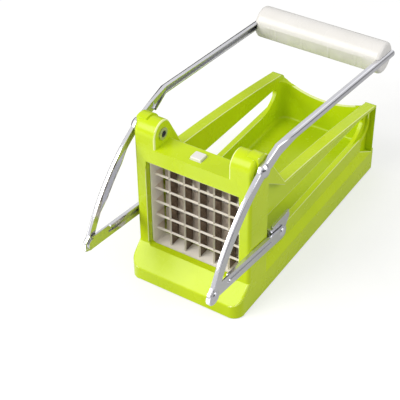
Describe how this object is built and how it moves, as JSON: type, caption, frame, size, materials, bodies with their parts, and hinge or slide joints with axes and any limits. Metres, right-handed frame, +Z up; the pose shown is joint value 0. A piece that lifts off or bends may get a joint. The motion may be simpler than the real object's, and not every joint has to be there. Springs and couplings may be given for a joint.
{
  "type": "french fry cutter",
  "caption": "Lime green lever french fry cutter with a square steel blade grid, bright steel arms, a white grip and a white pusher",
  "frame": {"origin": "middle of the footprint of the bounding box, on the table plane", "axes": "+X to the right as seen from the blade face, +Y from the blade face to the rear wall, +Z up"},
  "size_m": [0.117, 0.2704, 0.1372],
  "materials": {
    "lime_abs": "glossy injection-moulded ABS, lime green",
    "white_abs": "glossy injection-moulded ABS, white",
    "polished_stainless": "stamped stainless steel, polished",
    "stainless_sheet": "folded stainless sheet, cold-rolled finish",
    "blade_steel": "ground stainless blade strip",
    "foot_rubber": "moulded soft rubber"
  },
  "bodies": {
    "body": {"housing": "lime_abs", "rubber_feet": "foot_rubber", "cassette_frame": "stainless_sheet", "vertical_blades": "blade_steel", "horizontal_blades": "blade_steel"},
    "handle": {"arm_right": "polished_stainless", "arm_left": "polished_stainless", "grip": "white_abs", "grip_tie_rod": "polished_stainless", "pivot_rivet_right": "polished_stainless", "pivot_rivet_left": "polished_stainless", "pivot_washer_right": "polished_stainless", "pivot_washer_left": "polished_stainless", "toe_rivet_right": "polished_stainless", "toe_rivet_left": "polished_stainless"},
    "carriage": {"pusher_block": "white_abs", "pusher_carrier": "polished_stainless", "pusher_screws": "polished_stainless"},
    "link_right": {"link_right": "polished_stainless", "carrier_rivet_right": "polished_stainless"},
    "link_left": {"link_left": "polished_stainless", "carrier_rivet_left": "polished_stainless"},
    "blade_lock": {"blade_lock": "white_abs"}
  },
  "joints": [
    {"name": "handle_pivot", "type": "hinge", "parent": "body", "child": "handle", "pos_m": [0, -0.0635, 0.1254], "axis": [1, 0, 0], "range_deg": [0, 84]},
    {"name": "carriage_slide", "type": "slide", "parent": "body", "child": "carriage", "axis": [0, 1, 0], "range_m": [0, 0.12329]},
    {"name": "link_right_pivot", "type": "hinge", "parent": "handle", "child": "link_right", "pos_m": [0.05115, -0.1283, 0.0605], "axis": [1, 0, 0], "range_deg": [-80.29, 0]},
    {"name": "link_left_pivot", "type": "hinge", "parent": "handle", "child": "link_left", "pos_m": [-0.05115, -0.1283, 0.0605], "axis": [1, 0, 0], "range_deg": [-80.29, 0]},
    {"name": "blade_lock_slide", "type": "slide", "parent": "body", "child": "blade_lock", "axis": [0, 0, 1], "range_m": [0, 0.006]}
  ],
  "couplings": [
    {"joint": "carriage_slide", "follows": "handle_pivot", "m_per_rad": 0.084062},
    {"joint": "link_right_pivot", "follows": "handle_pivot", "ratio": -0.95576},
    {"joint": "link_left_pivot", "follows": "handle_pivot", "ratio": -0.95576}
  ]
}
